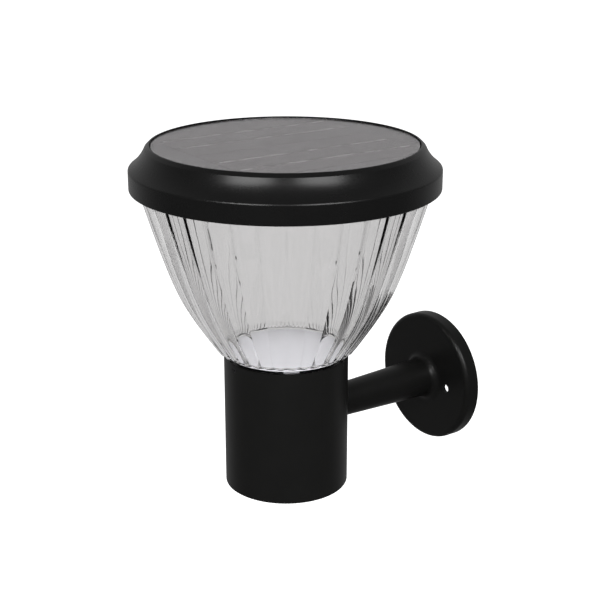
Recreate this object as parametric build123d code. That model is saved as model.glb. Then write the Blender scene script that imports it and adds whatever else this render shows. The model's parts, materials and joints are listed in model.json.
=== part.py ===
from build123d import *
from math import cos, hypot, pi, sin, sqrt
import os

# Solar fence light on a wall arm.  Millimetres, +Z up.  The wall is the plane y = 0 and the light
# stands in front of it, towards -Y.  The origin is the middle of the wall plate's back.

# ---------------------------------------------------------------- wall bracket
REACH = 122.5               # wall to the light's vertical axis
PLATE_RADIUS = 42.5
PLATE_THICKNESS = 10.0
PLATE_EDGE_RADIUS = 3.0
PLATE_SKIN = 2.4            # front wall of the hollow plate
PLATE_RIM = 2.6             # side wall of the hollow plate
WALL_HOLE_SPACING = 44.0
WALL_HOLE_DROP = 2.0        # holes below the plate's middle
WALL_HOLE_RADIUS = 2.75
ARM_ROOT_RADIUS = 12.8      # at the plate
ARM_TIP_RADIUS = 10.3       # at the tube
ARM_ROOT_FILLET = 5.0
ARM_WALL = 3.0
ARM_TIP_FLOOR = 1.6         # solid left between the screw holes and the hollow
WEB_THICKNESS = 2.4

# ---------------------------------------------------------------- tube
TUBE_RADIUS = 38.1
TUBE_WALL = 2.2
TUBE_HEIGHT = 84.0
TUBE_EDGE_RADIUS = 0.6
END_CAP_RECESS = 1.0
END_CAP_THICKNESS = 2.2
END_CAP_SKIRT = 10.0
END_CAP_WALL = 2.0
DRAIN_RADIUS = 3.0
ARM_SCREW_RADIUS = 2.0
ARM_SCREW_PITCH = 11.0
ARM_SCREW_LENGTH = 14.0     # past the saddle
ARM_SCREW_END_ROOM = 1.0    # hole left beyond the screw's tip
SADDLE_THICKNESS = 1.6
SADDLE_HEIGHT = 24.0
SADDLE_ARC = 44.0           # degrees round the tube
SET_SCREW_COUNT = 3
SET_SCREW_RADIUS = 1.5
SET_SCREW_LENGTH = 4.0
SET_SCREW_DROP = 3.4        # below the tube's top edge
SET_SCREW_SOCKET = 1.5      # across the flats
SET_SCREW_SOCKET_DEPTH = 1.5

# ---------------------------------------------------------------- shade
SHADE_HEIGHT = 111.5        # from the tube's top edge to the rim
FLUTE_COUNT = 36
FLUTE_DEPTH = 1.1
SHADE_SECTIONS = 8          # outlines that the fluted bowl is drawn through
SHADE_WALL = 2.6
FOOT_CONE_OVERHANG = 2.2    # steep lower cone, carried down to the tube's top edge, over the tube
FOOT_CONE_SLOPE = 0.73      # radius gained per height
RIM_CONE_INSET = 0.1        # upper cone, carried up to the rim, inside the cap's skirt
RIM_CONE_SLOPE = 0.294
BEND_SOFTNESS = 4.3         # how gently one cone turns into the other
FOOT_RING_HEIGHT = 3.1      # plain ring between the tube and the flutes' toes
FOOT_RING_WALL = 2.4
FOOT_RING_OVERLAP = 1.0     # how far the ring's solid runs up into the bowl
FOOT_LEDGE_HEIGHT = 1.5     # inner ledge that carries the reflector
FOOT_FLARE_FOOT = 2.1       # inner flare's start above the ledge
FOOT_FLARE_HEIGHT = 3.5     # inner flare's end above the ring
NECK_DEPTH = 12.0
NECK_WALL = 2.4
RIM_COLLAR_HEIGHT = 5.5
LUG_COUNT = 3
LUG_ARC = 20.0
LUG_THICKNESS = 2.0
LUG_REACH = 2.6             # beyond the rim's collar
LUG_DROP = 0.9              # lug's top below the rim
REFLECTOR_THICKNESS = 1.5
REFLECTOR_CROWN = 2.0
REFLECTOR_LEG_LENGTH = 9.0
REFLECTOR_LEG_WIDTH = 9.0
REFLECTOR_LEG_THICKNESS = 1.8

# ---------------------------------------------------------------- cap shell
BAND_RADIUS = 91.75
BAND_HEIGHT = 11.75
SKIRT_LAP = 6.75            # how far the skirt hangs below the shade's rim
SKIRT_EDGE_RADIUS = 0.6
SHOULDER_HEIGHT = 14.1
SHOULDER_INSET = 9.85       # lip's outer edge inside the band
SHOULDER_SAG = 1.1          # hollow of the cove
SHOULDER_CREASE_RADIUS = 1.2
LIP_WIDTH = 3.0
LIP_BEVEL_WIDTH = 2.1       # sloping outer part of the lip
LIP_BEVEL_DROP = 2.0
LIP_EDGE_RADIUS = 0.5
CAP_WALL = 2.55
DECK_THICKNESS = 1.8
RECESS_DEPTH = 3.8
SEAL_RIB_INSET = 0.5        # rib's outer face inside the recess
SEAL_RIB_WALL = 2.0
BOSS_RADIUS = 3.5
BOSS_TO_RIB = 0.9
BASE_SCREW_COUNT = 6
BASE_SCREW_RADIUS = 1.45
BASE_SCREW_GRIP = 8.0       # thread length in the boss
LEDGE_ARC = 24.0
LEDGE_RISE = 1.55           # ledge's underside above the skirt's edge
LEDGE_TO_COLLAR = 1.0       # ledge's inner face outside the rim's collar
STOP_ARC = 2.0

# ---------------------------------------------------------------- solar panel
PANEL_TURN = -2.4           # degrees, cells against the arm
PANEL_GAP = 0.8             # between the panel and the recess's wall
ADHESIVE_THICKNESS = 0.3
ADHESIVE_WIDTH = 6.0
PANEL_BOARD_THICKNESS = 1.4
CELL_THICKNESS = 0.25
RIBBON_THICKNESS = 0.1
COVER_THICKNESS = 0.95
CELL_LENGTH = 120.0
CELL_WIDTH = 62.0
CELL_GAP = 1.6
CELL_MARGIN = 4.0           # bare edge of the round panel
RIBBON_WIDTH = 1.0
RIBBON_LENGTH = 114.0
RIBBON_SPACING = 22.0       # between the two ribbons of one cell
RIBBON_PAIR_SPACING = 66.0

# ---------------------------------------------------------------- cap base and pod
BASE_OVER_COLLAR = 0.6      # base's edge outside the rim's collar
BASE_THICKNESS = 2.4
BASE_STAND = 0.5            # base above the shade's rim
GASKET_THICKNESS = 0.8
GASKET_OVERHANG = 1.0
SEAL_INSET = 0.2            # seal inside both edges of the shade's rim
SEAL_GROOVE_DEPTH = 0.8
POD_DEPTH = 15.0
POD_WALL = 2.0
POD_ROOM = 2.8              # round what stands in the pod

# ---------------------------------------------------------------- light source
LED_BOARD_INSET = 16.0      # board's edge inside the pod
LED_BOARD_THICKNESS = 1.6
LED_LENGTH = 3.5
LED_WIDTH = 2.8
LED_HEIGHT = 0.7
LED_RINGS = ((16, 6.0), (8, 24.0))      # how many, and how far inside the board's edge
LED_SCREW_INSET = 9.0
LED_SCREW_RADIUS = 1.45
LED_BOSS_HEIGHT = 5.0
LED_BOSS_TOP = 0.8          # boss left beyond the screw's tip
LED_BOARD_CLEARANCE = 0.6
LED_RIB_WALL = 1.6
LED_RIB_HEIGHT = 2.2
LED_COVER_WALL = 1.2
LED_COVER_DEPTH = 5.0

# ---------------------------------------------------------------- cell and holder
CELL_BODY_RADIUS = 9.2
CELL_BODY_LENGTH = 65.0
CELL_NUB_RADIUS = 3.0
CELL_NUB_HEIGHT = 1.0
HOLDER_TO_MIDDLE = 9.0      # holder's near wall from the middle of the pod
HOLDER_WALL = 1.4
HOLDER_FLOOR = 1.5
HOLDER_HEIGHT = 14.0
HOLDER_SIDE_ROOM = 0.4
HOLDER_END_ROOM = 3.0
CONTACT_THICKNESS = 0.4
CONTACT_WIDTH = 12.0
CONTACT_RISE = 1.6
CONTACT_COIL_RADIUS = 3.2
CONTACT_COIL_WIRE = 0.6
CONTACT_COIL_TURNS = 3

# ---------------------------------------------------------------- driver board
BOARD_TO_MIDDLE = 9.0       # board's near edge from the middle of the pod
BOARD_WIDTH = 30.0
BOARD_LENGTH = 60.0
BOARD_THICKNESS = 1.6
STANDOFF_HEIGHT = 4.0
STANDOFF_RADIUS = 2.8
STANDOFF_FLOOR = 0.4        # post left beyond the screw's tip
BOARD_SCREW_RADIUS = 1.2
BOARD_SCREW_INSET = 3.6
PLUG_WIDTH = 6.0
PLUG_LENGTH = 6.4
PLUG_HEIGHT = 6.0
PLUG_INSET = 2.0
PLUG_TO_SCREW = 0.8
CHIP_SIDE = 7.0
CHIP_HEIGHT = 1.2
INDUCTOR_RADIUS = 5.0
INDUCTOR_HEIGHT = 5.0
CAPACITOR_RADIUS = 4.0
CAPACITOR_HEIGHT = 9.0
BOARD_PARTS_SHIFT = 3.5     # row of parts outside the board's middle line

# ---------------------------------------------------------------- switch
BUTTON_RADIUS = 3.6
BUTTON_PROUD = 2.0
BUTTON_TIP_RADIUS = 0.8
BUTTON_COLLAR_LIP = 0.8
BUTTON_COLLAR_HEIGHT = 1.2
BUSHING_WALL = 1.35
BUSHING_END = 0.8           # bushing left below its nut
SWITCH_WALL = 1.7
SWITCH_ROOF = 1.0
CHAMBER_RISE = 1.5          # chamber's floor above the base
CHAMBER_HEIGHT = 5.7
NUT_WALL = 1.45
NUT_THICKNESS = 2.0
SWITCH_SEAL_THICKNESS = 0.8
SWITCH_SEAL_WIDTH = 1.9
SPRING_RADIUS = 2.6
SPRING_WIRE = 0.5
SPRING_TURNS = 3

# ---------------------------------------------------------------- leads
LEAD_RADIUS = 0.7
LEAD_PITCH = 2.4
LEAD_BEND = 4.0
LED_LEAD_RISE = 6.0         # level run above the plugs
PANEL_LEAD_RISE = 8.0
SWITCH_LEAD_RISE = 8.8
BATTERY_LEAD_RISE = 10.4
BATTERY_LEAD_OFFSET = -5.0  # run beside the cell, from the middle of the pod
GROMMET_BORE = 2.5
GROMMET_WALL = 1.4
GROMMET_FLANGE = 1.0

# ---------------------------------------------------------------- clearances
FIT = 0.05                  # screw in its threaded hole, and seats within one body
LOOSE = 0.2                 # parts that drop into each other
SCREW_CLEARANCE = 0.25      # screw through a plain hole
BAYONET_CLEARANCE = 0.3     # between a lug and its ledge
LUG_CLEARANCE = 0.5         # between a lug's end and the skirt
STOP_CLEARANCE_ARC = 0.3    # degrees between a lug and its stop
SEAL_CLEARANCE = 0.1
BUTTON_CLEARANCE = 0.05
COLLAR_CLEARANCE = 0.4
BUTTON_REST_CLEARANCE = 0.1
HEAD_TO_SHANK = 2.0         # pan head's radius over its shank's
HEAD_TO_RADIUS = 1.35       # pan head's height over its shank's radius
HEAD_ROUND = 0.45           # share of the head's height that is rounded, and that its slot takes

# ---------------------------------------------------------------- radii that follow
TUBE_BORE = TUBE_RADIUS - TUBE_WALL
NECK_RADIUS = TUBE_BORE - LOOSE
FOOT_RING_BORE = TUBE_RADIUS - FOOT_RING_WALL
CAP_BORE = BAND_RADIUS - CAP_WALL
LUG_RADIUS = CAP_BORE - LUG_CLEARANCE
RIM_COLLAR_RADIUS = LUG_RADIUS - LUG_REACH
LEDGE_RADIUS = RIM_COLLAR_RADIUS + LEDGE_TO_COLLAR
LIP_RADIUS = BAND_RADIUS - SHOULDER_INSET
RECESS_RADIUS = LIP_RADIUS - LIP_WIDTH
PANEL_RADIUS = RECESS_RADIUS - PANEL_GAP
SEAL_RIB_RADIUS = RECESS_RADIUS - SEAL_RIB_INSET
BASE_SCREW_CIRCLE = SEAL_RIB_RADIUS - SEAL_RIB_WALL - BOSS_TO_RIB - BOSS_RADIUS
BASE_RADIUS = RIM_COLLAR_RADIUS + BASE_OVER_COLLAR
HOLDER_INNER_WIDTH = 2 * (CELL_BODY_RADIUS + HOLDER_SIDE_ROOM)
HOLDER_INNER_LENGTH = CELL_BODY_LENGTH + 2 * HOLDER_END_ROOM
HOLDER_WIDTH = HOLDER_INNER_WIDTH + 2 * HOLDER_WALL
HOLDER_LENGTH = HOLDER_INNER_LENGTH + 2 * HOLDER_WALL
CELL_OFFSET = -HOLDER_TO_MIDDLE - HOLDER_WIDTH / 2
BOARD_OFFSET = BOARD_TO_MIDDLE + BOARD_WIDTH / 2
HOLDER_CORNER = hypot(HOLDER_TO_MIDDLE + HOLDER_WIDTH, HOLDER_LENGTH / 2)
BOARD_CORNER = hypot(BOARD_TO_MIDDLE + BOARD_WIDTH, BOARD_LENGTH / 2)
POD_RADIUS = max(HOLDER_CORNER, BOARD_CORNER) + POD_ROOM + POD_WALL
LED_BOARD_RADIUS = POD_RADIUS - LED_BOARD_INSET
LED_SCREW_OFFSET = LED_BOARD_RADIUS - LED_SCREW_INSET
LED_RIB_INNER = LED_BOARD_RADIUS + LED_BOARD_CLEARANCE
LED_RIB_RADIUS = LED_RIB_INNER + LED_RIB_WALL
LED_COVER_INNER = LED_RIB_RADIUS + LOOSE
LED_COVER_RADIUS = LED_COVER_INNER + LED_COVER_WALL
PLUG_OFFSET = BOARD_TO_MIDDLE + PLUG_INSET + PLUG_WIDTH / 2
BOARD_SCREW_Y = BOARD_LENGTH / 2 - BOARD_SCREW_INSET
PLUG_END = BOARD_SCREW_Y - BOARD_SCREW_RADIUS * HEAD_TO_SHANK - PLUG_TO_SCREW - PLUG_LENGTH / 2
PLUG_PITCH = PLUG_END / 2
PANEL_LEAD_OFFSET = PLUG_PITCH
LED_LEAD_OFFSET = -PLUG_PITCH
GROMMET_RADIUS = GROMMET_BORE + GROMMET_WALL
BUSHING_RADIUS = BUTTON_RADIUS + BUTTON_CLEARANCE + BUSHING_WALL
BUTTON_COLLAR_RADIUS = BUTTON_RADIUS + BUTTON_COLLAR_LIP
SWITCH_SIDE = 2 * (BUTTON_COLLAR_RADIUS + COLLAR_CLEARANCE + SWITCH_WALL)
SWITCH_OFFSET = -(POD_RADIUS + SEAL_RIB_RADIUS - SEAL_RIB_WALL) / 2
NUT_FLATS = 2 * (BUSHING_RADIUS + FIT + NUT_WALL)

# ---------------------------------------------------------------- heights that follow
TUBE_FOOT_Z = -TUBE_HEIGHT / 2
TUBE_TOP_Z = TUBE_FOOT_Z + TUBE_HEIGHT
SET_SCREW_Z = TUBE_TOP_Z - SET_SCREW_DROP
RIM_Z = TUBE_TOP_Z + SHADE_HEIGHT
COLLAR_Z = RIM_Z - RIM_COLLAR_HEIGHT
LUG_TOP_Z = RIM_Z - LUG_DROP
LUG_FOOT_Z = LUG_TOP_Z - LUG_THICKNESS
BASE_Z = RIM_Z + BASE_STAND
BASE_TOP_Z = BASE_Z + BASE_THICKNESS
GASKET_TOP_Z = BASE_TOP_Z + GASKET_THICKNESS
SKIRT_Z = RIM_Z - SKIRT_LAP
CREASE_Z = SKIRT_Z + BAND_HEIGHT
LIP_Z = CREASE_Z + SHOULDER_HEIGHT
RECESS_Z = LIP_Z - RECESS_DEPTH
DECK_Z = RECESS_Z - DECK_THICKNESS
PANEL_Z = RECESS_Z + ADHESIVE_THICKNESS
CELLS_Z = PANEL_Z + PANEL_BOARD_THICKNESS
RIBBON_Z = CELLS_Z + CELL_THICKNESS
COVER_Z = RIBBON_Z + RIBBON_THICKNESS
POD_Z = BASE_Z - POD_DEPTH
POD_FLOOR_Z = POD_Z + POD_WALL
LED_BOARD_Z = POD_Z - LED_BOARD_THICKNESS
BOARD_Z = POD_FLOOR_Z + STANDOFF_HEIGHT
BOARD_TOP_Z = BOARD_Z + BOARD_THICKNESS
PLUG_TOP_Z = BOARD_TOP_Z + PLUG_HEIGHT
CELL_Z = POD_FLOOR_Z + HOLDER_FLOOR + CELL_BODY_RADIUS + LOOSE
CONTACT_TOP_Z = POD_FLOOR_Z + HOLDER_HEIGHT + CONTACT_RISE
CHAMBER_Z = BASE_TOP_Z + CHAMBER_RISE
CHAMBER_TOP_Z = CHAMBER_Z + CHAMBER_HEIGHT
COLLAR_REST_Z = CHAMBER_Z + BUTTON_REST_CLEARANCE
NUT_TOP_Z = BASE_Z - SWITCH_SEAL_THICKNESS
NUT_Z = NUT_TOP_Z - NUT_THICKNESS
BUSHING_Z = NUT_Z - BUSHING_END

LAMP = Pos(0, -REACH, 0)    # moves what is modelled about the Z axis to the light's axis
WALL_WAY = 90.0             # degrees, the wall's direction seen from the light's axis
UP = (Align.CENTER, Align.CENTER, Align.MIN)


# ---------------------------------------------------------------- helpers
def turned(*pieces):
    """Solid of revolution about Z from an outline drawn in radius and height."""
    return revolve(Plane.XZ * make_face(list(pieces)), Axis.Z)


def turned_corners(*corners):
    """Solid of revolution about Z from straight-sided corners in radius and height."""
    return turned(Polyline(*corners, close=True))


def rod(radius, low, high):
    """Upright cylinder between two heights."""
    return Pos(0, 0, low) * Cylinder(radius, high - low, align=UP)


def ring(outer, inner, low, high):
    """Upright tube between two heights."""
    return rod(outer, low, high) - rod(inner, low, high)


def block(width, length, low, high):
    """Upright block, centred on the axis, between two heights."""
    return Pos(0, 0, low) * Box(width, length, high - low, align=UP)


def hexagon(flats, low, high):
    """Upright hexagonal bar between two heights, by its width across the flats."""
    return Pos(0, 0, low) * extrude(RegularPolygon(flats / 2, 6, major_radius=False), high - low)


def ring_sector(outer, inner, low, high, start, arc):
    """Part of an upright tube, from one angle on."""
    wide = high - low
    section = Pos((outer + inner) / 2, (low + high) / 2) * Rectangle(outer - inner, wide)
    return Rot(0, 0, start) * revolve(Plane.XZ * section, Axis.Z, revolution_arc=arc)


def pan_screw(radius, length):
    """Pan-head screw along Z: shank from 0 up to its length, head below 0."""
    head_radius = radius * HEAD_TO_SHANK
    head_height = radius * HEAD_TO_RADIUS
    slot_depth = head_height * HEAD_ROUND
    head = rounded(rod(head_radius, -head_height, 0), head_radius, -head_height, slot_depth)
    slot = block(slot_depth / 2, 2 * radius, -head_height, slot_depth - head_height)
    return head + rod(radius, 0, length) - slot - Rot(0, 0, 90) * slot


def coil(radius, wire, low, high, turns):
    """Helical spring between two heights, kept just inside both."""
    height = high - low - 2 * wire
    line = Pos(0, 0, low + wire) * Helix(height / turns, height, radius)
    start = line.position_at(0)
    profile = Plane(origin=start, z_dir=line.tangent_at(0)) * Circle(wire / 2)
    return sweep(profile, path=line, is_frenet=True)


def circles(body):
    """Round edges of a body."""
    return body.edges().filter_by(GeomType.CIRCLE)


def is_circle(edge, radius, height):
    """Whether an edge is the circle of that radius at that height."""
    return abs(edge.radius - radius) < FIT and abs(edge.center().Z - height) < FIT


def rounded(body, radius, height, fillet_radius):
    """Body with the edge of one turned circle rounded."""
    edge = circles(body).filter_by(lambda e: is_circle(e, radius, height))
    return fillet(edge, fillet_radius)


def lead(*corners):
    """Insulated wire along straight runs joined by arcs."""
    line = FilletPolyline(*corners, radius=LEAD_BEND)
    profile = Plane(origin=line.position_at(0), z_dir=line.tangent_at(0)) * Circle(LEAD_RADIUS)
    return sweep(profile, path=line)


def flute_radius(height):
    """Radius over the flutes' crests at a height above the tube's top edge."""
    foot = TUBE_RADIUS + FOOT_CONE_OVERHANG + FOOT_CONE_SLOPE * height
    rim = CAP_BORE - RIM_CONE_INSET - RIM_CONE_SLOPE * (SHADE_HEIGHT - height)
    return (foot + rim) / 2 - sqrt(((foot - rim) / 2) ** 2 + BEND_SOFTNESS ** 2)


def rim_bore():
    """Inner radius of the shade's rim."""
    return flute_radius(SHADE_HEIGHT - RIM_COLLAR_HEIGHT) - SHADE_WALL


# ---------------------------------------------------------------- bracket and its screws
def wall_bracket():
    """Wall plate and tapered arm in one hollow moulding, stiffened by crossed webs."""
    length = REACH - TUBE_RADIUS + TUBE_WALL
    body = turned_corners(
        (0, 0),
        (PLATE_RADIUS, 0),
        (PLATE_RADIUS, PLATE_THICKNESS),
        (ARM_ROOT_RADIUS, PLATE_THICKNESS),
        (ARM_TIP_RADIUS, length),
        (0, length),
    )
    body = rounded(body, ARM_ROOT_RADIUS, PLATE_THICKNESS, ARM_ROOT_FILLET)
    body = rounded(body, PLATE_RADIUS, PLATE_THICKNESS, PLATE_EDGE_RADIUS)
    pocket = PLATE_THICKNESS - PLATE_SKIN
    core_end = REACH - saddle_seat() - arm_hole_depth() - ARM_TIP_FLOOR
    core = turned_corners(
        (0, 0),
        (PLATE_RADIUS - PLATE_RIM, 0),
        (PLATE_RADIUS - PLATE_RIM, pocket),
        (ARM_ROOT_RADIUS - ARM_WALL, pocket),
        (ARM_TIP_RADIUS - ARM_WALL, core_end),
        (0, core_end),
    )
    web = block(WEB_THICKNESS, 3 * PLATE_RADIUS, 0, core_end)
    core = core - Rot(0, 0, 45) * web - Rot(0, 0, -45) * web
    body = body - core
    hole = rod(WALL_HOLE_RADIUS, 0, PLATE_THICKNESS)
    for side in (-1, 1):
        body -= Pos(side * WALL_HOLE_SPACING / 2, -WALL_HOLE_DROP, 0) * hole
    body = Rot(90, 0, 0) * body
    body -= LAMP * rod(TUBE_RADIUS + FIT, TUBE_FOOT_Z, TUBE_TOP_Z)
    for place in arm_screw_places():
        body -= place * rod(ARM_SCREW_RADIUS + FIT, 0, arm_hole_depth())
    return body


def arm_hole_depth():
    """Depth of an arm screw's hole from the head's seat on the saddle."""
    return SADDLE_THICKNESS + ARM_SCREW_LENGTH + ARM_SCREW_END_ROOM


def saddle_seat():
    """Distance from the light's axis at which an arm screw's flat head clears the saddle."""
    inner = TUBE_BORE - FIT - SADDLE_THICKNESS
    head_radius = ARM_SCREW_RADIUS * HEAD_TO_SHANK
    return sqrt(inner ** 2 - head_radius ** 2) - FIT


def arm_screw_places():
    """Where each arm screw's head seats, with its own Z pointing at the wall."""
    y = saddle_seat() - REACH
    return [Pos(0, y, side * ARM_SCREW_PITCH / 2) * Rot(-90, 0, 0) for side in (-1, 1)]


def arm_screws():
    """Screws from inside the tube into the arm's solid tip."""
    length = ARM_SCREW_LENGTH + SADDLE_THICKNESS
    return [place * pan_screw(ARM_SCREW_RADIUS, length) for place in arm_screw_places()]


def arm_saddle():
    """Curved steel plate that spreads the arm screws' pull inside the tube."""
    outer = TUBE_BORE - FIT
    half = SADDLE_HEIGHT / 2
    plate = LAMP * ring_sector(
        outer, outer - SADDLE_THICKNESS, -half, half, WALL_WAY - SADDLE_ARC / 2, SADDLE_ARC
    )
    for place in arm_screw_places():
        plate -= place * rod(ARM_SCREW_RADIUS + SCREW_CLEARANCE, 0, arm_hole_depth())
    return plate


# ---------------------------------------------------------------- tube
def tube():
    """Plain round tube with holes for the arm screws and the set screws."""
    body = ring(TUBE_RADIUS, TUBE_BORE, TUBE_FOOT_Z, TUBE_TOP_Z)
    body = rounded(body, TUBE_RADIUS, TUBE_FOOT_Z, TUBE_EDGE_RADIUS)
    body -= set_screw_holes(SET_SCREW_RADIUS + FIT, NECK_RADIUS, TUBE_RADIUS)
    body = LAMP * body
    for place in arm_screw_places():
        body -= place * rod(ARM_SCREW_RADIUS + SCREW_CLEARANCE, 0, arm_hole_depth())
    return body


def around_set_screws(shape):
    """Copies at the set screws, the first one straight away from the wall."""
    step = 360 / SET_SCREW_COUNT
    return [Rot(0, 0, -90 + step * i) * shape for i in range(SET_SCREW_COUNT)]


def set_screw_holes(radius, inner, outer):
    """Radial holes at the set screws."""
    return around_set_screws(Pos(0, 0, SET_SCREW_Z) * Rot(0, 90, 0) * rod(radius, inner, outer))


def set_screws():
    """Socket set screws that hold the shade's neck in the tube."""
    outer = TUBE_RADIUS - SCREW_CLEARANCE
    screw = rod(SET_SCREW_RADIUS, 0, SET_SCREW_LENGTH)
    screw -= hexagon(SET_SCREW_SOCKET, SET_SCREW_LENGTH - SET_SCREW_SOCKET_DEPTH, SET_SCREW_LENGTH)
    screw = Pos(outer - SET_SCREW_LENGTH, 0, SET_SCREW_Z) * Rot(0, 90, 0) * screw
    return [LAMP * copy for copy in around_set_screws(screw)]


def tube_end_cap():
    """Push-in cup that closes the tube's foot, with a drain hole."""
    radius = TUBE_BORE - LOOSE
    low = TUBE_FOOT_Z + END_CAP_RECESS
    floor = low + END_CAP_THICKNESS
    body = rod(radius, low, floor) + ring(radius, radius - END_CAP_WALL, floor, floor + END_CAP_SKIRT)
    return LAMP * (body - rod(DRAIN_RADIUS, low, floor))


# ---------------------------------------------------------------- shade
def flute_section(height):
    """Closed outline of outward arcs, one to a flute, at a height above the tube."""
    crest = flute_radius(height)
    cusp = crest - FLUTE_DEPTH
    step = 2 * pi / FLUTE_COUNT
    arcs = []
    for i in range(FLUTE_COUNT):
        middle = i * step
        low, high = middle - step / 2, middle + step / 2
        arcs.append(
            ThreePointArc(
                (cusp * cos(low), cusp * sin(low)),
                (crest * cos(middle), crest * sin(middle)),
                (cusp * cos(high), cusp * sin(high)),
            )
        )
    return Pos(0, 0, TUBE_TOP_Z + height) * make_face(arcs)


def shade():
    """Clear ribbed shade: neck in the tube, foot ring, fluted bowl, rim with bayonet lugs."""
    bowl_height = SHADE_HEIGHT - RIM_COLLAR_HEIGHT
    low = FOOT_RING_HEIGHT
    span = bowl_height - low
    heights = [low + span * i / (SHADE_SECTIONS - 1) for i in range(SHADE_SECTIONS)]
    body = loft([flute_section(height) for height in heights])
    body += rod(TUBE_RADIUS, TUBE_TOP_Z, TUBE_TOP_Z + FOOT_RING_HEIGHT + FOOT_RING_OVERLAP)
    body += rod(NECK_RADIUS, TUBE_TOP_Z - NECK_DEPTH, TUBE_TOP_Z)
    body += rod(RIM_COLLAR_RADIUS, COLLAR_Z, RIM_Z)
    neck_bore = NECK_RADIUS - NECK_WALL
    ledge_z = TUBE_TOP_Z + FOOT_LEDGE_HEIGHT
    inside = [
        (flute_radius(height) - SHADE_WALL, TUBE_TOP_Z + height)
        for height in [FOOT_RING_HEIGHT + FOOT_FLARE_HEIGHT] + heights[1:]
    ]
    body -= turned(
        Polyline(
            inside[-1],
            (rim_bore(), RIM_Z),
            (0, RIM_Z),
            (0, TUBE_TOP_Z - NECK_DEPTH),
            (neck_bore, TUBE_TOP_Z - NECK_DEPTH),
            (neck_bore, ledge_z),
            (FOOT_RING_BORE, ledge_z),
            (FOOT_RING_BORE, ledge_z + FOOT_FLARE_FOOT),
            inside[0],
        ),
        Spline(*inside),
    )
    body -= set_screw_holes(SET_SCREW_RADIUS + FIT, 0, NECK_RADIUS)
    for start in bayonet_angles(LUG_ARC):
        root = RIM_COLLAR_RADIUS - LOOSE
        body += ring_sector(LUG_RADIUS, root, LUG_FOOT_Z, LUG_TOP_Z, start, LUG_ARC)
    return LAMP * body


def bayonet_angles(arc):
    """Start angle of each bayonet piece of a given width."""
    return [-90 + 360 / LUG_COUNT * i - arc / 2 for i in range(LUG_COUNT)]


def reflector_disc():
    """White disc at the shade's foot, slightly crowned, on three legs in the neck."""
    low = TUBE_TOP_Z + FOOT_LEDGE_HEIGHT
    edge = low + REFLECTOR_THICKNESS
    top = edge + REFLECTOR_CROWN
    radius = FOOT_RING_BORE - LOOSE
    ball = (radius ** 2 + REFLECTOR_CROWN ** 2) / (2 * REFLECTOR_CROWN)
    body = rod(radius, low, top) & Pos(0, 0, top - ball) * Sphere(ball)
    leg_face = NECK_RADIUS - NECK_WALL - LOOSE
    foot = low - REFLECTOR_LEG_LENGTH
    arc = REFLECTOR_LEG_WIDTH / leg_face * 180 / pi
    for i in range(SET_SCREW_COUNT):
        start = WALL_WAY + 360 / SET_SCREW_COUNT * i - arc / 2
        body += ring_sector(leg_face, leg_face - REFLECTOR_LEG_THICKNESS, foot, low, start, arc)
    return LAMP * body


# ---------------------------------------------------------------- cap shell
def cap_shell():
    """Hollow cap: lip and recess on top, coved shoulder, band, and bayonet ledges inside."""
    cove_top = (LIP_RADIUS, LIP_Z - LIP_BEVEL_DROP)
    bevel_top = LIP_RADIUS - LIP_BEVEL_WIDTH
    cove_foot = (BAND_RADIUS, CREASE_Z)
    run, rise = cove_foot[0] - cove_top[0], cove_top[1] - cove_foot[1]
    chord = sqrt(run ** 2 + rise ** 2)
    cove_middle = (
        (cove_foot[0] + cove_top[0]) / 2 - SHOULDER_SAG * rise / chord,
        (cove_foot[1] + cove_top[1]) / 2 - SHOULDER_SAG * run / chord,
    )
    body = turned(
        Polyline((CAP_BORE, SKIRT_Z), (BAND_RADIUS, SKIRT_Z), cove_foot),
        ThreePointArc(cove_foot, cove_middle, cove_top),
        Polyline(
            cove_top,
            (bevel_top, LIP_Z),
            (RECESS_RADIUS, LIP_Z),
            (RECESS_RADIUS, RECESS_Z),
            (0, RECESS_Z),
            (0, DECK_Z),
            (cove_top[0] - CAP_WALL, DECK_Z),
            (CAP_BORE, CREASE_Z - CAP_WALL),
            (CAP_BORE, SKIRT_Z),
        ),
    )
    body = rounded(body, BAND_RADIUS, CREASE_Z, SHOULDER_CREASE_RADIUS)
    body = rounded(body, LIP_RADIUS, LIP_Z - LIP_BEVEL_DROP, LIP_EDGE_RADIUS)
    body = rounded(body, bevel_top, LIP_Z, LIP_EDGE_RADIUS)
    body = rounded(body, BAND_RADIUS, SKIRT_Z, SKIRT_EDGE_RADIUS)
    body += ring(SEAL_RIB_RADIUS, SEAL_RIB_RADIUS - SEAL_RIB_WALL, GASKET_TOP_Z, DECK_Z + FIT)
    for place in base_screw_places():
        body += place * rod(BOSS_RADIUS, BASE_TOP_Z, DECK_Z + FIT)
        body -= place * rod(BASE_SCREW_RADIUS + FIT, BASE_TOP_Z, BASE_TOP_Z + BASE_SCREW_GRIP + FIT)
    ledge_z = SKIRT_Z + LEDGE_RISE
    ledge_top = LUG_FOOT_Z - BAYONET_CLEARANCE
    for start in bayonet_angles(LEDGE_ARC):
        body += ring_sector(CAP_BORE + FIT, LEDGE_RADIUS, ledge_z, ledge_top, start, LEDGE_ARC)
    for start in bayonet_angles(LUG_ARC):
        stop = start + LUG_ARC + STOP_CLEARANCE_ARC
        body += ring_sector(CAP_BORE + FIT, LEDGE_RADIUS, ledge_z, LUG_TOP_Z, stop, STOP_ARC)
    body -= Pos(0, PANEL_LEAD_OFFSET, 0) * rod(GROMMET_RADIUS + FIT, DECK_Z, RECESS_Z)
    return LAMP * body


def base_screw_places():
    """Places of the screws that hold the base to the shell."""
    step = 360 / BASE_SCREW_COUNT
    return [Rot(0, 0, step * i) * Pos(BASE_SCREW_CIRCLE, 0, 0) for i in range(BASE_SCREW_COUNT)]


# ---------------------------------------------------------------- solar panel
def panel_adhesive():
    """Ring of adhesive under the panel."""
    return LAMP * ring(PANEL_RADIUS, PANEL_RADIUS - ADHESIVE_WIDTH, RECESS_Z, PANEL_Z)


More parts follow.
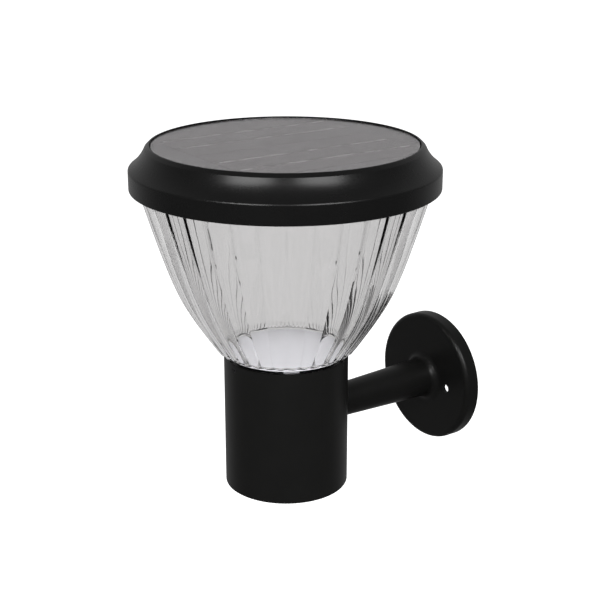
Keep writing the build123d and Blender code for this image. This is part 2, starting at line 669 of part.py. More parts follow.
def panel_board():
    """Backing board of the panel."""
    return LAMP * rod(PANEL_RADIUS, PANEL_Z, CELLS_Z)


def solar_cells():
    """Two dark cells, cut to the round panel."""
    trim = rod(PANEL_RADIUS - CELL_MARGIN, CELLS_Z, RIBBON_Z)
    cell = block(CELL_WIDTH, CELL_LENGTH, CELLS_Z, RIBBON_Z)
    places = [side * (CELL_WIDTH + CELL_GAP) / 2 for side in (-1, 1)]
    return [LAMP * Rot(0, 0, PANEL_TURN) * (Pos(x, 0, 0) * cell & trim) for x in places]


def busbars():
    """Thin ribbons along the cells, a pair to a cell."""
    trim = rod(PANEL_RADIUS - CELL_MARGIN, RIBBON_Z, COVER_Z)
    ribbon = block(RIBBON_WIDTH, RIBBON_LENGTH, RIBBON_Z, COVER_Z)
    ribbons = []
    for pair in (-1, 1):
        for side in (-1, 1):
            x = pair * RIBBON_PAIR_SPACING / 2 + side * RIBBON_SPACING / 2
            ribbons.append(LAMP * Rot(0, 0, PANEL_TURN) * (Pos(x, 0, 0) * ribbon & trim))
    return ribbons


def panel_cover():
    """Clear cover of the panel."""
    return LAMP * rod(PANEL_RADIUS, COVER_Z, COVER_Z + COVER_THICKNESS)


# ---------------------------------------------------------------- cap base
def cap_base():
    """Underside of the cap: flange, pod for the cell and board, rib for the light's cover."""
    body = rod(BASE_RADIUS, BASE_Z, BASE_TOP_Z)
    body += rod(POD_RADIUS, POD_Z, BASE_Z)
    body = rounded(body, POD_RADIUS, POD_Z, POD_WALL)
    body -= rod(POD_RADIUS - POD_WALL, POD_FLOOR_Z, BASE_TOP_Z)
    body -= ring(RIM_COLLAR_RADIUS, rim_bore(), BASE_Z, BASE_Z + SEAL_GROOVE_DEPTH)
    for place in base_screw_places():
        body -= place * rod(BASE_SCREW_RADIUS + SCREW_CLEARANCE, BASE_Z, BASE_TOP_Z)
    body += ring(LED_RIB_RADIUS, LED_RIB_INNER, POD_Z - LED_RIB_HEIGHT, POD_Z)
    for place in led_screw_places():
        body += place * rod(BOSS_RADIUS, POD_FLOOR_Z, POD_FLOOR_Z + LED_BOSS_HEIGHT)
        body -= place * rod(LED_SCREW_RADIUS + FIT, POD_Z, POD_FLOOR_Z + LED_BOSS_HEIGHT)
    for place in board_screw_places():
        body += place * rod(STANDOFF_RADIUS, POD_FLOOR_Z, BOARD_Z)
        body -= place * rod(BOARD_SCREW_RADIUS + FIT, POD_FLOOR_Z, BOARD_Z)
    body -= Pos(0, LED_LEAD_OFFSET, 0) * rod(GROMMET_RADIUS + FIT, POD_Z, POD_FLOOR_Z)
    body -= Pos(0, SWITCH_OFFSET, 0) * rod(BUSHING_RADIUS + LOOSE, BASE_Z, BASE_TOP_Z)
    return LAMP * body


def cap_seal():
    """Soft ring between the base and the shade's rim."""
    low = RIM_Z + SEAL_CLEARANCE
    high = BASE_Z + SEAL_GROOVE_DEPTH
    return LAMP * ring(RIM_COLLAR_RADIUS - SEAL_INSET, rim_bore() + SEAL_INSET, low, high)


def base_gasket():
    """Flat gasket between the base and the shell's rib."""
    inner = SEAL_RIB_RADIUS - SEAL_RIB_WALL
    return LAMP * ring(SEAL_RIB_RADIUS + GASKET_OVERHANG, inner, BASE_TOP_Z, GASKET_TOP_Z)


def base_screws():
    """Screws from below through the base into the shell's bosses."""
    screw = Pos(0, 0, BASE_Z) * pan_screw(BASE_SCREW_RADIUS, BASE_THICKNESS + BASE_SCREW_GRIP)
    return [LAMP * place * screw for place in base_screw_places()]


# ---------------------------------------------------------------- light source
def led_screw_places():
    """Places of the screws that hold the LED board."""
    return [Pos(0, side * LED_SCREW_OFFSET, 0) for side in (-1, 1)]


def led_board():
    """Round board on the pod's underside."""
    body = rod(LED_BOARD_RADIUS, LED_BOARD_Z, POD_Z)
    for place in led_screw_places():
        body -= place * rod(LED_SCREW_RADIUS + SCREW_CLEARANCE, LED_BOARD_Z, POD_Z)
    return LAMP * body


def led_chips():
    """Light-emitting chips in two rings on the board's underside."""
    chip = block(LED_LENGTH, LED_WIDTH, LED_BOARD_Z - LED_HEIGHT, LED_BOARD_Z)
    chips = []
    for count, inset in LED_RINGS:
        for i in range(count):
            turn = Rot(0, 0, 360 / count * (i + 0.5))
            chips.append(LAMP * turn * Pos(LED_BOARD_RADIUS - inset, 0, 0) * chip)
    return chips


def led_screws():
    """Screws that hold the LED board to the pod."""
    length = LED_BOARD_THICKNESS + POD_WALL + LED_BOSS_HEIGHT - LED_BOSS_TOP
    screw = Pos(0, 0, LED_BOARD_Z) * pan_screw(LED_SCREW_RADIUS, length)
    return [LAMP * place * screw for place in led_screw_places()]


def led_cover():
    """Frosted cover over the LED board."""
    low = POD_Z - LED_COVER_DEPTH
    body = rod(LED_COVER_RADIUS, low, POD_Z - SEAL_CLEARANCE)
    body = rounded(body, LED_COVER_RADIUS, low, LED_COVER_WALL)
    body -= rod(LED_COVER_INNER, low + LED_COVER_WALL, POD_Z)
    return LAMP * body


# ---------------------------------------------------------------- cell and holder
def battery_cell():
    """Round cell, lying along Y, with its raised end towards the wall."""
    half = CELL_BODY_LENGTH / 2
    body = Pos(0, 0, -half) * rod(CELL_BODY_RADIUS, 0, CELL_BODY_LENGTH)
    body += rod(CELL_NUB_RADIUS, half, half + CELL_NUB_HEIGHT)
    return LAMP * Pos(CELL_OFFSET, 0, CELL_Z) * Rot(-90, 0, 0) * body


def battery_holder():
    """Open tray for the cell."""
    top = POD_FLOOR_Z + HOLDER_HEIGHT
    body = block(HOLDER_WIDTH, HOLDER_LENGTH, POD_FLOOR_Z, top)
    body -= block(HOLDER_INNER_WIDTH, HOLDER_INNER_LENGTH, POD_FLOOR_Z + HOLDER_FLOOR, top)
    return LAMP * Pos(CELL_OFFSET, 0, 0) * body


def contact_face():
    """Distance from the holder's middle to a contact's inner face."""
    return HOLDER_INNER_LENGTH / 2 - FIT - CONTACT_THICKNESS


def battery_contacts():
    """Contact plates at both ends of the holder, one with a coil, one with a button."""
    low = POD_FLOOR_Z + HOLDER_FLOOR + FIT
    plate = block(CONTACT_WIDTH, CONTACT_THICKNESS, low, CONTACT_TOP_Z)
    face = contact_face()
    reach = face + CONTACT_THICKNESS / 2
    half = CELL_BODY_LENGTH / 2
    button_length = face - half - CELL_NUB_HEIGHT - FIT
    button = Rot(90, 0, 0) * rod(CELL_NUB_RADIUS, 0, button_length)
    plus = Pos(0, reach, 0) * plate + Pos(0, face, CELL_Z) * button
    spring = coil(CONTACT_COIL_RADIUS, CONTACT_COIL_WIRE, 0, face - half, CONTACT_COIL_TURNS)
    minus = [Pos(0, -reach, 0) * plate, Pos(0, -face, CELL_Z) * Rot(-90, 0, 0) * spring]
    return [LAMP * Pos(CELL_OFFSET, 0, 0) * piece for piece in [plus] + minus]


# ---------------------------------------------------------------- driver board
def board_screw_places():
    """Places of the board's four screws."""
    x = BOARD_WIDTH / 2 - BOARD_SCREW_INSET
    return [Pos(BOARD_OFFSET + i * x, j * BOARD_SCREW_Y, 0) for i in (-1, 1) for j in (-1, 1)]


def driver_board():
    """Charge and light controller board."""
    body = Pos(BOARD_OFFSET, 0, 0) * block(BOARD_WIDTH, BOARD_LENGTH, BOARD_Z, BOARD_TOP_Z)
    for place in board_screw_places():
        body -= place * rod(BOARD_SCREW_RADIUS + SCREW_CLEARANCE, BOARD_Z, BOARD_TOP_Z)
    return LAMP * body


def board_screws():
    """Screws that hold the board to its posts."""
    length = BOARD_THICKNESS + STANDOFF_HEIGHT - STANDOFF_FLOOR
    screw = Pos(0, 0, BOARD_TOP_Z) * Rot(180, 0, 0) * pan_screw(BOARD_SCREW_RADIUS, length)
    return [LAMP * place * screw for place in board_screw_places()]


def board_parts():
    """Plugs, controller chip, inductor and capacitor on the board."""
    plug = Pos(PLUG_OFFSET, 0, 0) * block(PLUG_WIDTH, PLUG_LENGTH, BOARD_TOP_Z, PLUG_TOP_Z)
    parts = [Pos(0, step * PLUG_PITCH, 0) * plug for step in (-2, -1, 0, 1)]
    row = BOARD_OFFSET + BOARD_PARTS_SHIFT
    inductor = rod(INDUCTOR_RADIUS, BOARD_TOP_Z, BOARD_TOP_Z + INDUCTOR_HEIGHT)
    chip = block(CHIP_SIDE, CHIP_SIDE, BOARD_TOP_Z, BOARD_TOP_Z + CHIP_HEIGHT)
    capacitor = rod(CAPACITOR_RADIUS, BOARD_TOP_Z, BOARD_TOP_Z + CAPACITOR_HEIGHT)
    for step, part in ((-1, inductor), (0.5, chip), (1.8, capacitor)):
        parts.append(Pos(row, step * PLUG_PITCH, 0) * part)
    return [LAMP * part for part in parts]


# ---------------------------------------------------------------- switch
def switch_body():
    """Push switch: square body above the base, round bushing through it."""
    body = block(SWITCH_SIDE, SWITCH_SIDE, BASE_TOP_Z, CHAMBER_TOP_Z + SWITCH_ROOF)
    body += rod(BUSHING_RADIUS, BUSHING_Z, BASE_TOP_Z)
    body -= rod(BUTTON_RADIUS + BUTTON_CLEARANCE, BUSHING_Z, CHAMBER_Z)
    body -= rod(BUTTON_COLLAR_RADIUS + COLLAR_CLEARANCE, CHAMBER_Z, CHAMBER_TOP_Z)
    return LAMP * Pos(0, SWITCH_OFFSET, 0) * body


def switch_button():
    """Button with the collar that keeps it in the switch."""
    collar_top = COLLAR_REST_Z + BUTTON_COLLAR_HEIGHT
    body = rod(BUTTON_RADIUS, BUSHING_Z - BUTTON_PROUD, COLLAR_REST_Z)
    body = rounded(body, BUTTON_RADIUS, BUSHING_Z - BUTTON_PROUD, BUTTON_TIP_RADIUS)
    body += rod(BUTTON_COLLAR_RADIUS, COLLAR_REST_Z, collar_top)
    return LAMP * Pos(0, SWITCH_OFFSET, 0) * body


def button_spring():
    """Return spring between the button's collar and the switch's roof."""
    low = COLLAR_REST_Z + BUTTON_COLLAR_HEIGHT
    spring = coil(SPRING_RADIUS, SPRING_WIRE, low, CHAMBER_TOP_Z, SPRING_TURNS)
    return LAMP * Pos(0, SWITCH_OFFSET, 0) * spring


def switch_seal():
    """Soft washer under the base, round the switch's bushing."""
    inner = BUSHING_RADIUS + FIT
    washer = ring(inner + SWITCH_SEAL_WIDTH, inner, NUT_TOP_Z, BASE_Z)
    return LAMP * Pos(0, SWITCH_OFFSET, 0) * washer


def switch_nut():
    """Hexagon nut that clamps the switch to the base."""
    body = hexagon(NUT_FLATS, NUT_Z, NUT_TOP_Z) - rod(BUSHING_RADIUS + FIT, NUT_Z, NUT_TOP_Z)
    return LAMP * Pos(0, SWITCH_OFFSET, 0) * body


# ---------------------------------------------------------------- leads
def lead_grommets():
    """Soft grommets where the panel's and the LED board's leads pass a wall."""
    deck = ring(GROMMET_RADIUS, GROMMET_BORE, DECK_Z, RECESS_Z)
    deck += ring(GROMMET_RADIUS + GROMMET_FLANGE, GROMMET_BORE, DECK_Z - GROMMET_FLANGE, DECK_Z)
    pod = ring(GROMMET_RADIUS, GROMMET_BORE, POD_Z, POD_FLOOR_Z)
    top = POD_FLOOR_Z + GROMMET_FLANGE
    pod += ring(GROMMET_RADIUS + GROMMET_FLANGE, GROMMET_BORE, POD_FLOOR_Z, top)
    return [LAMP * Pos(0, PANEL_LEAD_OFFSET, 0) * deck, LAMP * Pos(0, LED_LEAD_OFFSET, 0) * pod]


def panel_leads():
    """Pair of wires from the panel down to its plug."""
    turn = PLUG_TOP_Z + PANEL_LEAD_RISE
    wires = []
    for side in (-1, 1):
        y = PANEL_LEAD_OFFSET + side * LEAD_PITCH / 2
        corners = [(0, y, PANEL_Z), (0, y, turn), (PLUG_OFFSET, y, turn), (PLUG_OFFSET, y, PLUG_TOP_Z)]
        wires.append(LAMP * lead(*corners))
    return wires


def led_leads():
    """Pair of wires from the LED board up to its plug."""
    turn = PLUG_TOP_Z + LED_LEAD_RISE
    wires = []
    for side in (-1, 1):
        y = LED_LEAD_OFFSET + side * LEAD_PITCH / 2
        corners = [(0, y, POD_Z), (0, y, turn), (PLUG_OFFSET, y, turn), (PLUG_OFFSET, y, PLUG_TOP_Z)]
        wires.append(LAMP * lead(*corners))
    return wires


def battery_leads():
    """One wire from each contact plate to the cell's plug."""
    turn = PLUG_TOP_Z + BATTERY_LEAD_RISE
    end = contact_face() + CONTACT_THICKNESS / 2
    wires = []
    for side in (-1, 1):
        y = side * LEAD_PITCH / 2
        corners = [
            (CELL_OFFSET, side * end, CONTACT_TOP_Z),
            (CELL_OFFSET, side * end, turn),
            (BATTERY_LEAD_OFFSET, side * end, turn),
            (BATTERY_LEAD_OFFSET, y, turn),
            (PLUG_OFFSET, y, turn),
            (PLUG_OFFSET, y, PLUG_TOP_Z),
        ]
        wires.append(LAMP * lead(*corners))
    return wires


def switch_leads():
    """Pair of wires from the switch to its plug."""
    turn = PLUG_TOP_Z + SWITCH_LEAD_RISE
    start = SWITCH_OFFSET + SWITCH_SIDE / 2
    wires = []
    for side in (-1, 1):
        x = side * LEAD_PITCH / 2
        y = -2 * PLUG_PITCH - x
        corners = [(x, start, turn), (x, y, turn), (PLUG_OFFSET, y, turn), (PLUG_OFFSET, y, PLUG_TOP_Z)]
        wires.append(LAMP * lead(*corners))
    return wires


# ---------------------------------------------------------------- write the sub-parts
SUBPARTS = {
    "wall_bracket": wall_bracket,
    "arm_screws": arm_screws,
    "arm_saddle": arm_saddle,
    "tube": tube,
    "set_screws": set_screws,
    "tube_end_cap": tube_end_cap,
    "shade": shade,
    "reflector_disc": reflector_disc,
    "cap_shell": cap_shell,
    "panel_adhesive": panel_adhesive,
    "panel_board": panel_board,
    "solar_cells": solar_cells,
    "busbars": busbars,
    "panel_cover": panel_cover,
    "cap_base": cap_base,
    "cap_seal": cap_seal,
    "base_gasket": base_gasket,
    "base_screws": base_screws,
    "led_board": led_board,
    "led_chips": led_chips,
    "led_screws": led_screws,
    "led_cover": led_cover,
    "battery_cell": battery_cell,
    "battery_holder": battery_holder,
    "battery_contacts": battery_contacts,
    "driver_board": driver_board,
    "board_screws": board_screws,
    "board_parts": board_parts,
    "switch_body": switch_body,
    "switch_button": switch_button,
    "button_spring": button_spring,
    "switch_seal": switch_seal,
    "switch_nut": switch_nut,
    "lead_grommets": lead_grommets,
    "panel_leads": panel_leads,
    "led_leads": led_leads,
    "battery_leads": battery_leads,
    "switch_leads": switch_leads,
}

os.makedirs("parts", exist_ok=True)
for name, make in SUBPARTS.items():
    made = make()
    solids = made if isinstance(made, list) else [made]
    export_step(Compound(children=[s for piece in solids for s in piece.solids()]), f"parts/{name}.step")
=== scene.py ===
"""Solar fence light on a wall arm: its finishes and fine shapes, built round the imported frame."""
from __future__ import annotations

import json
import logging
import math
from dataclasses import dataclass
from enum import Enum
from typing import Any, Iterable, Sequence

import bpy
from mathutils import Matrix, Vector

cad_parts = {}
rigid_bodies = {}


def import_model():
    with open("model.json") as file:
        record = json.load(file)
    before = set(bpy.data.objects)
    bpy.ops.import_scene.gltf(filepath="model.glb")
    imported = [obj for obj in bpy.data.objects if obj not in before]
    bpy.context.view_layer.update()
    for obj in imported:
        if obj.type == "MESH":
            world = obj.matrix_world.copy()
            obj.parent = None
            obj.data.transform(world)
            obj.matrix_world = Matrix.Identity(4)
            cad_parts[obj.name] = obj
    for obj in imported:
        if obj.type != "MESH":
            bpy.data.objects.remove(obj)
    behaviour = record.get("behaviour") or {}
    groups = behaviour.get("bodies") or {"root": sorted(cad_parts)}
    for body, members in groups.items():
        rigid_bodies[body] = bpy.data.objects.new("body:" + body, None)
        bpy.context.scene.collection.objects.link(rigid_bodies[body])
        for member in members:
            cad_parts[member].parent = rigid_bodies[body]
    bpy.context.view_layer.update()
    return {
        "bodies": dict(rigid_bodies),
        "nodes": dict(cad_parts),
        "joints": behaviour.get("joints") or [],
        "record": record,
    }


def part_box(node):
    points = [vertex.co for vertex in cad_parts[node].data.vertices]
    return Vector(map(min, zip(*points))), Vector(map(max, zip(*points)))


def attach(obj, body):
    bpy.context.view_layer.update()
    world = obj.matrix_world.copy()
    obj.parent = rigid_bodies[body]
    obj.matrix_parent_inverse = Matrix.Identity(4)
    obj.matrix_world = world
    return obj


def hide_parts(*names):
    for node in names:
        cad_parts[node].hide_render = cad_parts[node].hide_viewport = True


log = logging.getLogger("fence_light")

MM = 0.001
MERGE_DISTANCE = 0.001 * MM
CELL_TURN = math.radians(-2.4)


# ------------------------------------------------------------------------------------------------
# Shader graphs
# ------------------------------------------------------------------------------------------------
class Value:
    """A socket of a shader graph that takes part in sums."""

    def __init__(self, graph: "Graph", socket: bpy.types.NodeSocket) -> None:
        """Keep the graph and the socket.

        Args:
            graph: The graph that the socket belongs to.
            socket: An output socket.
        """
        self.graph = graph
        self.socket = socket

    def _maths(self, operation: str, *terms: Any) -> "Value":
        """Add a Math node on these terms and return its result."""
        return self.graph.node("ShaderNodeMath", {"operation": operation}, dict(enumerate(terms)))

    def __add__(self, other: Any) -> "Value":
        """Sum."""
        return self._maths("ADD", self, other)

    def __radd__(self, other: Any) -> "Value":
        """Sum, the other way round."""
        return self._maths("ADD", other, self)

    def __sub__(self, other: Any) -> "Value":
        """Difference."""
        return self._maths("SUBTRACT", self, other)

    def __rsub__(self, other: Any) -> "Value":
        """Difference, the other way round."""
        return self._maths("SUBTRACT", other, self)

    def __mul__(self, other: Any) -> "Value":
        """Product."""
        return self._maths("MULTIPLY", self, other)

    def __rmul__(self, other: Any) -> "Value":
        """Product, the other way round."""
        return self._maths("MULTIPLY", other, self)

    def __lt__(self, other: Any) -> "Value":
        """One where this is less than the other, otherwise zero."""
        return self._maths("LESS_THAN", self, other)

    def __abs__(self) -> "Value":
        """Size without the sign."""
        return self._maths("ABSOLUTE", self)

    def larger(self, other: Any) -> "Value":
        """The larger of two values."""
        return self._maths("MAXIMUM", self, other)

    def wave(self, pitch: float) -> "Value":
        """Distance from the nearest line of a set of lines one pitch apart."""
        return abs(self._maths("WRAP", self, pitch / 2, -pitch / 2))

    def ramp(self, low: float, high: float, start: float = 0.0, end: float = 1.0) -> "Value":
        """Smooth change from one value to another between two places.

        Args:
            low: Where the change begins.
            high: Where it ends.
            start: The value before it.
            end: The value after it.

        Returns:
            The changed value.
        """
        settings = {"interpolation_type": "SMOOTHSTEP"}
        values = {"Value": self, "From Min": low, "From Max": high, "To Min": start, "To Max": end}
        return self.graph.node("ShaderNodeMapRange", settings, values)


class Ray(Enum):
    """Kinds of rays that the light path node tells apart."""

    CAMERA = "Is Camera Ray"
    GLOSSY = "Is Glossy Ray"
    TRANSMISSION = "Is Transmission Ray"


class Graph:
    """The nodes of one material or of the world."""

    def __init__(self, tree: bpy.types.NodeTree) -> None:
        """Clear the tree and start from nothing.

        Args:
            tree: The node tree to fill.
        """
        self.tree = tree
        tree.nodes.clear()

    def node(self, kind: str, settings: dict[str, Any] | None = None,
             values: dict[Any, Any] | None = None, output: Any = 0) -> Value | None:
        """Add one node.

        Args:
            kind: Blender's name of the node's type.
            settings: Attributes of the node, set first.
            values: Socket name or number to a value, a colour or another socket.
            output: Name or number of the socket to return.

        Returns:
            The chosen output, or nothing for a node that has none.
        """
        made = self.tree.nodes.new(kind)
        for key, setting in (settings or {}).items():
            setattr(made, key, setting)
        for key, value in (values or {}).items():
            socket = made.inputs[key]
            if isinstance(value, Value):
                self.tree.links.new(value.socket, socket)
            else:
                socket.default_value = value
        return Value(self, made.outputs[output]) if len(made.outputs) else None

    def place(self) -> Value:
        """Object coordinates."""
        return self.node("ShaderNodeTexCoord", output="Object")

    def ray(self, kind: Ray) -> Value:
        """One for rays of one kind, zero for others."""
        return self.node("ShaderNodeLightPath", output=kind.value)

    def parts(self, vector: Value) -> tuple[Value, Value, Value]:
        """The three components of a vector.

        Args:
            vector: The vector to split.

        Returns:
            Its X, Y and Z.
        """
        split = self.node("ShaderNodeSeparateXYZ", None, {0: vector})
        outputs = split.socket.node.outputs
        return tuple(Value(self, socket) for socket in outputs)

    def noise(self, vector: Value, size: float, detail: float = 2.0, rough: float = 0.5) -> Value:
        """Smooth noise around 0.5.

        Args:
            vector: Where it is read.
            size: Width of its main features, in metres.
            detail: Number of finer layers.
            rough: Strength of the finer layers.

        Returns:
            The noise.
        """
        values = {"Vector": vector, "Scale": 1 / size, "Detail": detail, "Roughness": rough}
        return self.node("ShaderNodeTexNoise", None, values, "Fac")

    def blend(self, factor: Any, first: Any, second: Any) -> Value:
        """Mix two colours.

        Args:
            factor: How much of the second.
            first: Colour or socket at factor 0.
            second: Colour or socket at factor 1.

        Returns:
            The mixed colour.
        """
        values = {0: factor, 6: rgba(first), 7: rgba(second)}
        return self.node("ShaderNodeMix", {"data_type": "RGBA"}, values, 2)

    def bump(self, height: Value, distance: float) -> Value:
        """Normal from a height.

        Args:
            height: The height, from 0 to 1.
            distance: Height in metres that 1 stands for.

        Returns:
            The normal.
        """
        return self.node("ShaderNodeBump", None, {"Height": height, "Distance": distance})


def rgba(colour: Any) -> Any:
    """A colour of three numbers with alpha 1, or the socket as it is."""
    return colour if isinstance(colour, Value) else (*colour, 1.0)


# ------------------------------------------------------------------------------------------------
# Finishes
# ------------------------------------------------------------------------------------------------
@dataclass(frozen=True)
class Finish:
    """A surface finish: fine grain, drifting gloss and a faint change of shade."""

    name: str
    colour: tuple[float, float, float]
    roughness: float = 0.4
    roughness_drift: float = 0.06
    shade_drift: float = 0.12
    grain: float = 0.4 * MM
    grain_height: float = 0.004 * MM
    cloud: float = 18 * MM
    metallic: float = 0.0
    specular: float = 0.5
    ior: float = 1.5
    coat: float = 0.0
    sheen: float = 0.0

    def material(self) -> bpy.types.Material:
        """Make the material.

        Returns:
            The new material.
        """
        material = bpy.data.materials.new(self.name)
        material.use_nodes = True
        graph = Graph(material.node_tree)
        surface = self.surface(graph)
        graph.node("ShaderNodeOutputMaterial", None, {"Surface": surface})
        return material

    def surface(self, graph: Graph) -> Value:
        """Build the shader.

        Args:
            graph: The graph to build it in.

        Returns:
            The shader's output.
        """
        where = graph.place()
        cloud = graph.noise(where, self.cloud, 3.0)
        values = {
            "Base Color": self.colouring(graph, where, cloud),
            "Roughness": cloud * (2 * self.roughness_drift) + (self.roughness - self.roughness_drift),
            "Metallic": self.metallic,
            "Specular IOR Level": self.specular,
            "IOR": self.ior,
            "Coat Weight": self.coat,
            "Sheen Weight": self.sheen,
            "Normal": self.relief(graph, where),
        }
        values.update(self.extra())
        return graph.node("ShaderNodeBsdfPrincipled", None, values)

    def colouring(self, graph: Graph, where: Value, cloud: Value) -> Value:
        """Base colour, a little darker in some places than in others.

        Args:
            graph: The graph to build it in.
            where: Object coordinates.
            cloud: Slow noise.

        Returns:
            The colour.
        """
        dark = tuple(part * (1 - self.shade_drift) for part in self.colour)
        light = tuple(min(1.0, part * (1 + self.shade_drift)) for part in self.colour)
        return graph.blend(cloud, dark, light)

    def relief(self, graph: Graph, where: Value) -> Value:
        """Fine moulded grain.

        Args:
            graph: The graph to build it in.
            where: Object coordinates.

        Returns:
            The normal.
        """
        return graph.bump(graph.noise(where, self.grain, 2.0, 0.6), self.grain_height)

    def extra(self) -> dict[str, Any]:
        """More sockets of the shader, uniform over the surface."""
        return {}


@dataclass(frozen=True)
class BlackMoulding(Finish):
    """Black plastic from a finely textured mould, with a few faint specks of dust."""

    speck_size: float = 1.1 * MM
    speck_band: tuple[float, float] = (0.70, 0.80)
    speck_share: float = 0.05
    speck_colour: tuple[float, float, float] = (0.16, 0.16, 0.155)

    def colouring(self, graph: Graph, where: Value, cloud: Value) -> Value:
        """Black with faint flow marks and a trace of dust.

        Args:
            graph: The graph to build it in.
            where: Object coordinates.
            cloud: Slow noise.

        Returns:
            The colour.
        """
        base = super().colouring(graph, where, cloud)
        noise = graph.noise(where, self.speck_size, 2.0, 0.7)
        speck = noise.ramp(*self.speck_band, 0.0, self.speck_share)
        return graph.blend(speck, base, self.speck_colour)


@dataclass(frozen=True)
class ClearPlastic(Finish):
    """Clear moulded plastic, faintly tinted, with faint flow waves."""

    def colouring(self, graph: Graph, where: Value, cloud: Value) -> Value:
        """Nearly even tint.

        Args:
            graph: The graph to build it in.
            where: Object coordinates.
            cloud: Slow noise.

        Returns:
            The colour.
        """
        tint = tuple(part * (1 - self.shade_drift) for part in self.colour)
        return graph.blend(cloud, self.colour, tint)

    def relief(self, graph: Graph, where: Value) -> Value:
        """Long shallow flow waves.

        Args:
            graph: The graph to build it in.
            where: Object coordinates.

        Returns:
            The normal.
        """
        return graph.bump(graph.noise(where, self.grain, 1.0, 0.4), self.grain_height)

    def extra(self) -> dict[str, Any]:
        """Light passes through."""
        return {"Transmission Weight": 1.0}


@dataclass(frozen=True)
class FrostedPlastic(ClearPlastic):
    """Milky plastic that scatters what passes through it."""

    milk: float = 0.45

    def extra(self) -> dict[str, Any]:
        """Part of the light passes through, the rest is scattered back."""
        return {"Transmission Weight": self.milk}


@dataclass(frozen=True)
class SolarCell(Finish):
    """Dark silicon with fine printed fingers across the ribbons."""

    turn: float = 0.0
    axis_y: float = 0.0
    finger_pitch: float = 1.55 * MM
    finger_width: float = 0.09 * MM
    finger_share: float = 0.55
    finger_colour: tuple[float, float, float] = (0.22, 0.23, 0.25)

    def colouring(self, graph: Graph, where: Value, cloud: Value) -> Value:
        """Blue-black with pale fingers.

        Args:
            graph: The graph to build it in.
            where: Object coordinates.
            cloud: Slow noise.

        Returns:
            The colour.
        """
        base = super().colouring(graph, where, cloud)
        settings = {"vector_type": "POINT"}
        centred = graph.node("ShaderNodeMapping", settings, {
            "Vector": where, "Location": (0.0, -self.axis_y, 0.0)})
        turned = graph.node("ShaderNodeMapping", settings, {
            "Vector": centred, "Rotation": (0.0, 0.0, -self.turn)})
        along = graph.parts(turned)[1]
        finger = along.wave(self.finger_pitch) < self.finger_width / 2
        return graph.blend(finger * self.finger_share, base, self.finger_colour)


@dataclass(frozen=True)
class BoardLacquer(Finish):
    """Solder lacquer over copper tracks, which show as lighter paths."""

    track_pitch: float = 3.1 * MM
    track_half_width: float = 0.28 * MM
    track_share: float = 0.7
    link_pitch: float = 2.7 * 3.1 * MM
    lane_size: float = 9 * MM
    lane_reach: float = 4 * MM
    gain: float = 1.5
    lift: float = 0.02

    def colouring(self, graph: Graph, where: Value, cloud: Value) -> Value:
        """Lacquer, lighter over the tracks.

        Args:
            graph: The graph to build it in.
            where: Object coordinates.
            cloud: Slow noise.

        Returns:
            The colour.
        """
        base = super().colouring(graph, where, cloud)
        light = tuple(min(1.0, self.gain * part + self.lift) for part in self.colour)
        across, along, _ = graph.parts(where)
        lane = graph.noise(where, self.lane_size, 0.0) * self.lane_reach
        track = (across + lane).wave(self.track_pitch) < self.track_half_width
        link = (along + lane).wave(self.link_pitch) < self.track_half_width
        return graph.blend(track.larger(link) * self.track_share, base, light)


@dataclass(frozen=True)
class BrushedMetal(Finish):
    """Plated steel with fine turning marks."""

    mark: float = 0.25 * MM
    mark_squeeze: float = 0.12

    def relief(self, graph: Graph, where: Value) -> Value:
        """Fine marks, drawn out along one direction.

        Args:
            graph: The graph to build it in.
            where: Object coordinates.

        Returns:
            The normal.
        """
        scale = (1.0, 1.0, self.mark_squeeze)
        drawn = graph.node("ShaderNodeMapping", None, {"Vector": where, "Scale": scale})
        return graph.bump(graph.noise(drawn, self.mark, 2.0, 0.6), self.grain_height)


@dataclass(frozen=True)
class Ribbon(Finish):
    """Thin tinned ribbon whose gloss comes and goes along its length."""

    dull_share: float = 0.45
    dull_band: tuple[float, float] = (0.40, 0.60)

    def colouring(self, graph: Graph, where: Value, cloud: Value) -> Value:
        """Pale, with duller stretches.

        Args:
            graph: The graph to build it in.
            where: Object coordinates.
            cloud: Slow noise.

        Returns:
            The colour.
        """
        dull = tuple(part * self.dull_share for part in self.colour)
        return graph.blend(cloud.ramp(*self.dull_band), dull, self.colour)


